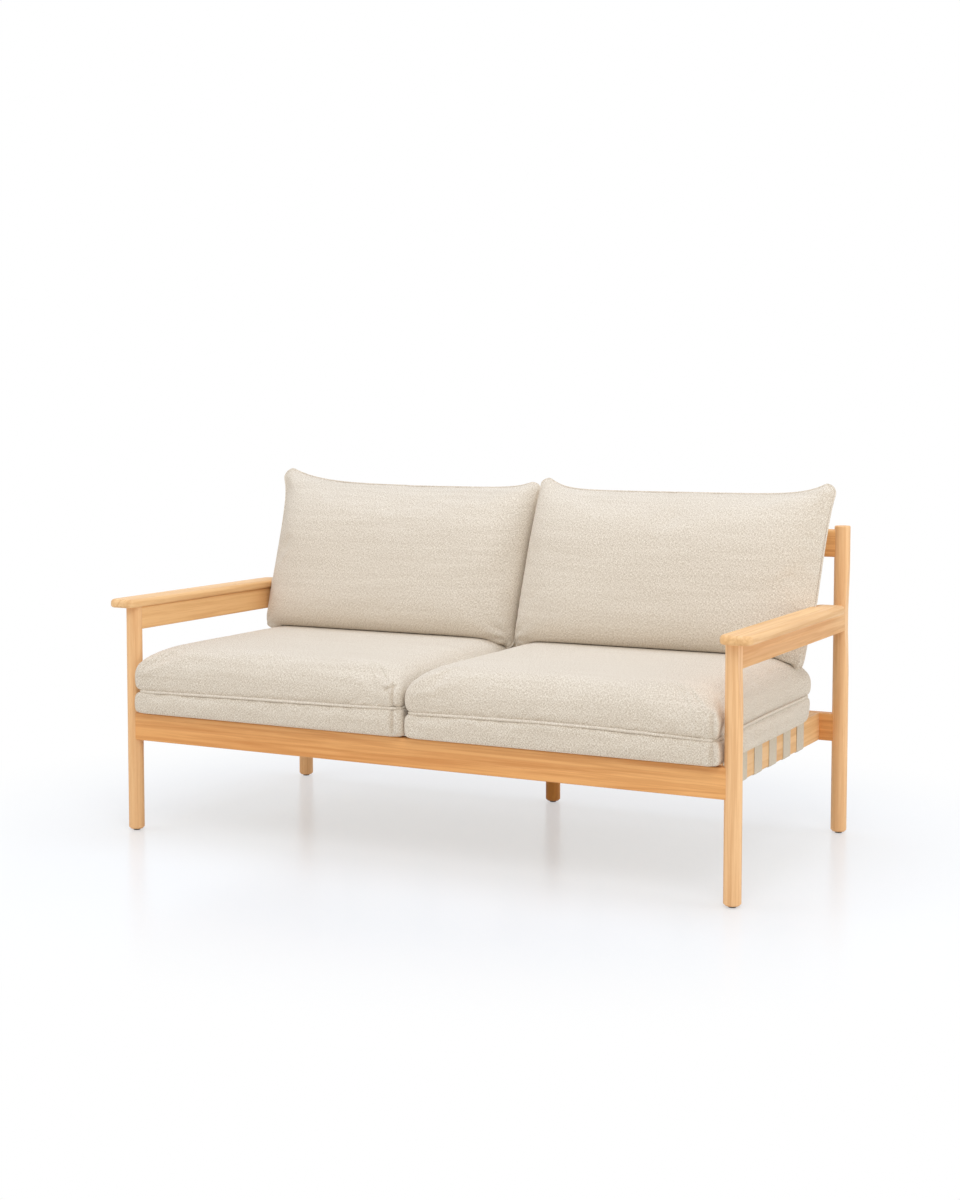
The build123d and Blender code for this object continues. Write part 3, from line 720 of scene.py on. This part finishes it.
# Gathers round a lower corner: their count and start, how near the corner they fade, and each
# corner's place across, reach and depth. Ripples of the inner seam: their depth, turns, reach
# from the seam, first height and how far they fade in below it.
GATHERS, GATHER_START = 9.0, 1.3
GATHER_HEIGHT, GATHER_FADE = 0.445, 0.02
GATHERED_CORNERS = ((0.0, 0.064, 0.0042), (SEAT["outer"], 0.062, 0.0040))
RIPPLE_DEPTH, RIPPLE_TURNS, RIPPLE_REACH = 0.0016, 230.0, 0.030
RIPPLE_TOP, RIPPLE_FADE, RIPPLE_INNER = 0.62, 0.06, 0.003

# Where a back cushion stops: at the straps behind it, beside its twin, on the seat cushion, at
# the lowest where it hangs free behind the seat cushion, and beside or over the armrest
BACK_MAX_Y = 0.3682
BACK_MIN_X = 0.0018
CROWN_BASE = 0.365
SEAT_REAR = 0.2440
FREE_BOTTOM = 0.405
LOWEST_PART = 0.470
SEAT_GAP = 0.0008
BESIDE_ARMREST, OVER_ARMREST = 0.7262, 0.7700
ARMREST_SIDE, ARMREST_TOP = 0.5400, 0.5575


def lean_point(across, up, out):
    """A point of the leaning back cushion: up the slope, and out to its front."""
    return np.stack([across,
                     BACK_FOOT_Y + up * math.sin(BACK_LEAN) - out * math.cos(BACK_LEAN),
                     BACK_FOOT_Z + up * math.cos(BACK_LEAN) + out * math.sin(BACK_LEAN)],
                    axis=-1)


def crown_map(points):
    """A reader of a seat cover's height, from a grid of the highest points of its crown."""
    cell, rounds = 0.012, 6
    low = points[:, :2].min(axis=0)
    size = np.ceil((points[:, :2].max(axis=0) - low) / cell).astype(int) + 1
    grid = np.full(size, np.nan)
    for x, y, z in points[points[:, 2] > CROWN_BASE]:
        i, j = int((x - low[0]) / cell + 0.5), int((y - low[1]) / cell + 0.5)
        if not grid[i, j] >= z:
            grid[i, j] = z
    for _ in range(rounds):
        holes = np.isnan(grid)
        if not holes.any():
            break
        wide = np.pad(grid, 1, constant_values=np.nan)
        around = np.stack([wide[1 + di:wide.shape[0] - 1 + di, 1 + dj:wide.shape[1] - 1 + dj]
                           for di, dj in ((1, 0), (-1, 0), (0, 1), (0, -1))])
        known = ~np.isnan(around)
        filled = np.where(known, around, 0).sum(axis=0) / np.maximum(known.sum(axis=0), 1)
        grid = np.where(holes & known.any(axis=0), filled, grid)

    def height(x, y):
        last = size - 1.001
        fx = min(max((x - low[0]) / cell, 0.0), last[0])
        fy = min(max((y - low[1]) / cell, 0.0), last[1])
        i, j = int(fx), int(fy)
        u, v = fx - i, fy - j
        return float((1 - u) * (1 - v) * grid[i, j] + u * (1 - v) * grid[i + 1, j]
                     + (1 - u) * v * grid[i, j + 1] + u * v * grid[i + 1, j + 1])

    return height


def pucker(points, side):
    """Small gathers where the seam is drawn together, toward the lower corners of the cushion."""
    across, level = points[:, 0] * side, points[:, 2]
    for corner_x, reach, depth in GATHERED_CORNERS:
        dx, dz = across - corner_x, level - GATHER_HEIGHT
        distance = np.hypot(dx, dz)
        angle = np.arctan2(dz, np.abs(dx) + TINY)
        fade = bell(distance, reach) * np.clip(distance / GATHER_FADE, 0, 1)
        points[:, 1] += depth * np.sin(GATHERS * angle + GATHER_START) * fade
    ripples = RIPPLE_DEPTH * np.sin(level * RIPPLE_TURNS) * bell(across, RIPPLE_REACH)
    below = np.clip((RIPPLE_TOP - level) / RIPPLE_FADE, 0, 1)
    points[:, 1] += ripples * below * (across > RIPPLE_INNER)


def back_cushion(side_name, side, outer, flare, ear_flare, ears, foot, spans, top):
    """One back cushion: two puffed panels that meet at a piped seam, settled on the seat.
    flare and ear_flare widen it toward the top, ears and spans lift its inner and outer upper
    corner over a reach, and foot lifts its outer lower corner."""
    width, height = outer - BACK_INNER, top - BACK_BOTTOM
    count_x, count_y = BACK_CELLS_ACROSS, BACK_CELLS_UP

    def crowded(count):
        """Shares from 0 to 1 that lie closer near both ends."""
        rounded = (1 - np.cos(np.linspace(0, math.pi, count + 1))) / 2
        return list(CROWDED_SHARE * rounded + EVEN_SHARE * np.linspace(0, 1, count + 1))

    ring = ring_positions(width / 2, height / 2, BACK_CORNER, crowded(count_x), crowded(count_y))
    grid = grid_inside(ring, count_x, count_y) + np.array([width / 2, height / 2])
    X, Y = grid[..., 0], grid[..., 1]
    U, V = np.clip(X / width, 0, 1), np.clip(Y / height, 0, 1)
    from_side = np.minimum(X, width - X)
    from_top = height - Y
    from_bottom = Y

    inner_half = U < 0.5

    # Outline: the top sags between its ears, the bottom bows up, and the outer side flares
    near_ear = np.exp(-np.maximum(from_side - EAR_FLAT, 0) / np.where(inner_half, *spans))
    ear = np.where(inner_half, *ears)
    up = BACK_BOTTOM + Y
    up = up - V ** 2 * (TOP_SAG * (1 - near_ear) - ear * near_ear)
    up = up + BOTTOM_BOW * (1 - V) ** 3 * (1 - np.exp(-from_side / BOTTOM_REACH))
    up = up + foot * (1 - V) ** 5 * np.exp(-(width - X) / BOTTOM_REACH)
    drawn = 4 * V * (1 - V)
    high = np.exp(-np.maximum(from_top - BACK_CORNER, 0) / FLARE_REACH)
    right = outer + flare * V + ear_flare * high - SIDE_DRAW * drawn
    across = BACK_INNER + (right - BACK_INNER) * U
    across -= (INNER_EAR * np.exp(-from_side / INNER_EAR_REACH - from_top / INNER_EAR_REACH)
               * inner_half)

    def outline_inset(distance):
        """How far the rounded corner lies in from the straight side."""
        gone = np.clip(BACK_CORNER - distance, 0, BACK_CORNER)
        return BACK_CORNER - np.sqrt(BACK_CORNER ** 2 - gone ** 2)

    edge_x = np.maximum(from_side - outline_inset(np.minimum(from_top, from_bottom)), 0)
    edge_top = np.maximum(from_top - outline_inset(from_side), 0)
    edge_bottom = np.maximum(from_bottom - outline_inset(from_side), 0)

    def rise(distance, reach, crown, blunt):
        """How full the cushion is at a distance from its edge."""
        share = np.clip(distance / reach, 0, 1)
        return (1 - (1 - share) ** crown) ** blunt

    blunt_x = np.where(inner_half, INNER_BLUNT, OUTER_BLUNT)
    plump = (BACK_HALF_THICK * rise(edge_x, width / 2, SIDE_CROWN, blunt_x)
             * rise(edge_top, height / 2, TOP_CROWN, TOP_BLUNT)
             * rise(edge_bottom, height / 2, BOTTOM_CROWN, BOTTOM_BLUNT))
    body = f"back_cushion_{side_name}"
    front = lean_point(side * across, up, plump)
    back = lean_point(side * across, up, -plump)
    points = list(front.reshape(-1, 3))
    index_front = np.arange((count_x + 1) * (count_y + 1)).reshape(count_x + 1, count_y + 1)
    index_back = index_front.copy()
    for i in range(1, count_x):
        for j in range(1, count_y):
            index_back[i, j] = len(points)
            points.append(back[i, j])
    faces = []
    for i in range(count_x):
        for j in range(count_y):
            for index, flip in ((index_front, side < 0), (index_back, side > 0)):
                quad = (index[i, j], index[i + 1, j], index[i + 1, j + 1], index[i, j + 1])
                faces.append(quad[::-1] if flip else quad)
    piece = make_object(f"back_cover_{side_name}", points, faces, FABRIC, body)
    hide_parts(body)
    points = np.array(points)
    seam = np.concatenate([index_front[:-1, 0], index_front[-1, :-1], index_front[:0:-1, -1],
                           index_front[0, :0:-1]])
    pins = {int(k): 1.0 for k in seam}
    start = points
    moved = inflate(piece, pins, BACK_PRESSURE, BACK_CAP, BACK_SHRINK)
    keep = (np.clip(np.abs(start[:, 0]) / KEEP_X, LEAST_KEEP_X, 1)
            * np.clip((start[:, 2] - KEEP_BASE) / KEEP_RUN, LEAST_KEEP_Z, 1))[:, None]
    points = start + keep * (moved - start)
    pucker(points, side)
    points[:, 1] = np.minimum(points[:, 1], BACK_MAX_Y)
    seat_top = SEAT_TOPS[side_name]
    for point in points:
        if point[2] < LOWEST_PART:
            on_seat = point[1] < SEAT_REAR
            rest = seat_top(point[0], point[1]) + SEAT_GAP if on_seat else FREE_BOTTOM
            point[2] = max(point[2], rest, FREE_BOTTOM)
    along = points[:, 0] * side
    rests = ((along > BESIDE_ARMREST) & (points[:, 2] > ARMREST_SIDE)
             & (points[:, 2] < ARMREST_TOP))
    points[rests, 2] = ARMREST_TOP
    limit = np.where(points[:, 2] < ARMREST_TOP - 0.0001, BESIDE_ARMREST, OVER_ARMREST)
    points[:, 0] = np.clip(along, BACK_MIN_X, limit) * side
    set_points(piece, points)
    subdivide(piece)
    piping(f"back_piping_{side_name}", points[seam], BACK_PIPING_RADIUS, body)


seat_cushion("left", -1, seam=0.969, gather=1.3,
             waves=[(0.0, -0.0075), (0.2, -0.0050), (0.4, -0.0022), (0.65, 0.0002),
                    (0.85, 0.0022), (1.0, 0.0055)])
seat_cushion("right", 1, seam=0.977, gather=0.25,
             waves=[(0.0, -0.0045), (0.2, -0.0012), (0.45, 0.0014), (0.65, 0.0004),
                    (0.85, -0.0035), (1.0, -0.0067)])
back_cushion("left", -1, outer=0.734, flare=0.014, ear_flare=0.018, ears=(-0.022, 0.004),
             foot=0.024, spans=(0.034, 0.092), top=0.4245)
back_cushion("right", 1, outer=0.740, flare=0.010, ear_flare=0.006, ears=(-0.008, -0.010),
             foot=0.0, spans=(0.036, 0.044), top=0.4225)


# Webbing straps

STRAP_THICK, STRAP_HALF = 0.0018, 0.025
STRAP_EDGE, STRAP_EDGE_DEPTH = 0.0012, 0.15


def strap(name, path, width_axis, place):
    """A flat strap along a path of outer points, given in the plane across its width."""
    path = np.array(path, dtype=float)
    half, flat = STRAP_HALF, STRAP_HALF - STRAP_EDGE
    shallow, deep = STRAP_EDGE_DEPTH, 1 - STRAP_EDGE_DEPTH
    count = len(path)
    ways = np.gradient(path, axis=0)
    ways /= np.linalg.norm(ways, axis=1, keepdims=True)
    normals = np.stack([-ways[:, 1], ways[:, 0]], axis=1)
    profile = [(-half, shallow), (-flat, 0.0), (flat, 0.0), (half, shallow),
               (half, deep), (flat, 1.0), (-flat, 1.0), (-half, deep)]
    points, faces = [], []
    sides = len(profile)
    for (a, b), (na, nb) in zip(path, normals):
        for across, depth in profile:
            pa, pb = a + na * STRAP_THICK * depth, b + nb * STRAP_THICK * depth
            points.append((pa, place + across, pb) if width_axis == 1
                          else (place + across, pa, pb))
    for index in range(count - 1):
        for k in range(sides):
            nearby = (k + 1) % sides
            faces.append((index * sides + k, (index + 1) * sides + k,
                          (index + 1) * sides + nearby, index * sides + nearby))
    faces.append(tuple(range(sides))[::-1])
    faces.append(tuple((count - 1) * sides + k for k in range(sides)))
    piece = make_object(f"{name}_webbing", points, faces, WEBBING, "frame",
                        smooth=False)
    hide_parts(name)


def arc(centre, radius, start, end):
    """Points round a centre from one angle to another, in degrees."""
    steps = 6
    turns = [math.radians(start + (end - start) * k / steps) for k in range(steps + 1)]
    return [(centre[0] + radius * math.cos(turn), centre[1] + radius * math.sin(turn))
            for turn in turns]


def run(start, end, count):
    """Points between two places, without the places themselves."""
    return [(start[0] + (end[0] - start[0]) * k / count,
             start[1] + (end[1] - start[1]) * k / count) for k in range(1, count)]


def strap_middles(prefix, axis):
    """The frame's straps whose names start alike, each with the middle of its width."""
    for name in sorted(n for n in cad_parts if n.startswith(prefix)):
        low_corner, high_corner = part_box(name)
        yield name, (low_corner[axis] + high_corner[axis]) / 2


# The rails' outer faces and rounded edges, and the tails that the straps turn in under them
RAIL_LOW, SIDE_RAIL_TOP, SIDE_RAIL_X = 0.220, 0.285, 0.7035
TOP_RAIL_TOP, TOP_RAIL_ROUND, TOP_RAIL_TAIL = 0.722, 0.008, 0.034
TOP_RAIL_FRONT, TOP_RAIL_BACK = 0.37075, 0.39475
EDGE, LOW_TAIL = 0.003, 0.020
bend, top_bend = EDGE + STRAP_THICK, TOP_RAIL_ROUND + STRAP_THICK

right_half = [(SIDE_RAIL_X - LOW_TAIL, RAIL_LOW - STRAP_THICK)]
right_half += run(right_half[-1], (SIDE_RAIL_X - EDGE, RAIL_LOW - STRAP_THICK), 4)
right_half += arc((SIDE_RAIL_X - EDGE, RAIL_LOW + EDGE), bend, -90, 0)
right_half += run(right_half[-1], (SIDE_RAIL_X + STRAP_THICK, SIDE_RAIL_TOP - EDGE), 6)
right_half += arc((SIDE_RAIL_X - EDGE, SIDE_RAIL_TOP - EDGE), bend, 0, 90)
left_half = [(-x, z) for x, z in reversed(right_half)]
seat_path = right_half + run(right_half[-1], left_half[0], 60) + left_half
for name, middle in strap_middles("seat_strap_", 1):
    strap(name, seat_path, 1, middle)

back_path = [(TOP_RAIL_BACK + STRAP_THICK, TOP_RAIL_TOP - TOP_RAIL_TAIL)]
back_path += run(back_path[-1], (TOP_RAIL_BACK + STRAP_THICK, TOP_RAIL_TOP - TOP_RAIL_ROUND), 4)
back_path += arc((TOP_RAIL_BACK - TOP_RAIL_ROUND, TOP_RAIL_TOP - TOP_RAIL_ROUND), top_bend, 0, 90)
back_path += run(back_path[-1], (TOP_RAIL_FRONT + TOP_RAIL_ROUND, TOP_RAIL_TOP + STRAP_THICK), 3)
back_path += arc((TOP_RAIL_FRONT + TOP_RAIL_ROUND, TOP_RAIL_TOP - TOP_RAIL_ROUND), top_bend,
                 90, 180)
back_path += run(back_path[-1], (TOP_RAIL_FRONT - STRAP_THICK, RAIL_LOW + EDGE), 40)
back_path += arc((TOP_RAIL_FRONT + EDGE, RAIL_LOW + EDGE), bend, 180, 270)
back_path += run(back_path[-1], (TOP_RAIL_FRONT + LOW_TAIL, RAIL_LOW - STRAP_THICK), 3)
back_path += [(TOP_RAIL_FRONT + LOW_TAIL, RAIL_LOW - STRAP_THICK)]
for name, middle in strap_middles("back_strap_", 0):
    strap(name, back_path, 0, middle)


# Floor, light and camera

# The floor's shadow is lightened by a glow. It fades out over an ellipse round the object.
FLOOR_GLOW = 0.45
FADE_HALF_X, FADE_HALF_Y = 1.6, 1.45
FADE_START, FADE_END = 0.52, 1.00
FLOOR_TONE, BOUNCE_TONE = (0.865, 0.905, 0.955), (0.90, 0.87, 0.82)
FLOOR_HALF = 14.0
DAYLIGHT = 0.55


def floor_material():
    """White floor with a soft shadow near the object, fading to the white of the backdrop."""
    m = Nodes("floor_white")
    place = m.node("ShaderNodeSeparateXYZ")
    m.link(m.coords(), place.inputs[0])
    x = m.math("DIVIDE", place.outputs[0], FADE_HALF_X)
    y = m.math("DIVIDE", place.outputs[1], FADE_HALF_Y)
    away = m.math("SQRT", m.math("ADD", m.math("MULTIPLY", x, x), m.math("MULTIPLY", y, y)))
    fade = m.node("ShaderNodeMapRange", interpolation_type="SMOOTHSTEP")
    fade.inputs["From Min"].default_value = FADE_START
    fade.inputs["From Max"].default_value = FADE_END
    m.link(away, fade.inputs["Value"])
    path = m.node("ShaderNodeLightPath")
    seen = m.math("MAXIMUM", path.outputs["Is Camera Ray"], path.outputs["Is Glossy Ray"])
    seen = m.math("MAXIMUM", seen, path.outputs["Is Transmission Ray"])
    glow = m.node("ShaderNodeEmission")
    glow.inputs["Strength"].default_value = 1.0
    mixed = m.node("ShaderNodeMixShader")
    lifted = m.math("ADD", m.math("MULTIPLY", fade.outputs[0], 1.0 - FLOOR_GLOW), FLOOR_GLOW)
    m.link(m.math("MULTIPLY", lifted, seen), mixed.inputs[0])
    m.link(m.shader.outputs[0], mixed.inputs[1])
    m.link(glow.outputs[0], mixed.inputs[2])
    m.link(mixed.outputs[0], m.tree.nodes["Material Output"].inputs["Surface"])
    tone = m.mix(path.outputs["Is Camera Ray"], BOUNCE_TONE, FLOOR_TONE)
    m.link(tone, m.shader.inputs["Base Color"])
    m.shader.inputs["Roughness"].default_value = 0.22
    m.shader.inputs["Specular IOR Level"].default_value = 0.35
    return m.material


mesh = bpy.data.meshes.new("floor")
mesh.from_pydata([(-FLOOR_HALF, -FLOOR_HALF, 0), (FLOOR_HALF, -FLOOR_HALF, 0),
                  (FLOOR_HALF, FLOOR_HALF, 0), (-FLOOR_HALF, FLOOR_HALF, 0)], [], [(0, 1, 2, 3)])
floor = bpy.data.objects.new("floor", mesh)
mesh.materials.append(floor_material())
bpy.context.scene.collection.objects.link(floor)

world = bpy.data.worlds.new("studio")
bpy.context.scene.world = world
world.use_nodes = True
tree = world.node_tree
back = tree.nodes["Background"]
back.inputs["Color"].default_value = (1.0, 1.0, 1.0, 1.0)
path = tree.nodes.new("ShaderNodeLightPath")
widest = tree.nodes.new("ShaderNodeMath")
widest.operation = "MAXIMUM"
tree.links.new(path.outputs["Is Camera Ray"], widest.inputs[0])
tree.links.new(path.outputs["Is Glossy Ray"], widest.inputs[1])
seen = tree.nodes.new("ShaderNodeMath")
seen.operation = "MAXIMUM"
tree.links.new(widest.outputs[0], seen.inputs[0])
tree.links.new(path.outputs["Is Transmission Ray"], seen.inputs[1])
strength = tree.nodes.new("ShaderNodeMapRange")
strength.inputs["To Min"].default_value = DAYLIGHT
strength.inputs["To Max"].default_value = 1.0
tree.links.new(seen.outputs[0], strength.inputs["Value"])
tree.links.new(strength.outputs[0], back.inputs["Strength"])


def lamp(name, place, aim, size, power, colour=WHITE):
    """A round area light at a place, aimed at another."""
    data = bpy.data.lights.new(name, "AREA")
    data.shape = "DISK"
    data.size = size
    data.energy = power
    data.color = colour
    piece = bpy.data.objects.new(name, data)
    piece.location = place
    piece.rotation_euler = (Vector(aim) - Vector(place)).to_track_quat("-Z", "Y").to_euler()
    bpy.context.scene.collection.objects.link(piece)


lamp("key", (1.6, -2.6, 3.6), (0, 0, 0.4), 2.6, 60)
lamp("fill", (-3.2, -2.2, 2.4), (0, 0, 0.5), 3.0, 27)
lamp("above", (0, 0.3, 4.0), (0, 0, 0.3), 3.0, 42, (0.91, 0.99, 1.15))
lamp("side", (3.6, 0.4, 1.3), (0.3, 0, 0.5), 2.4, 21)

# The camera was fitted to the photograph: its focal length and shift are in the picture's
# pixels, and its angles in degrees
PICTURE_HEIGHT = 1200
FOCAL_LENGTH, SHIFT = 1833.3, -60
SENSOR = 36
TILT, TURN = 3.988, 27.47
camera = bpy.data.cameras.new("camera")
camera.lens = FOCAL_LENGTH / PICTURE_HEIGHT * SENSOR
camera.sensor_width = SENSOR
camera.shift_y = SHIFT / PICTURE_HEIGHT
view = bpy.data.objects.new("camera", camera)
view.location = (1.978, -3.82625, 0.997)
view.rotation_euler = (math.radians(90 - TILT), 0, math.radians(TURN))
bpy.context.scene.collection.objects.link(view)
bpy.context.scene.camera = view
bpy.context.scene.view_settings.view_transform = "Standard"

bpy.context.view_layer.update()
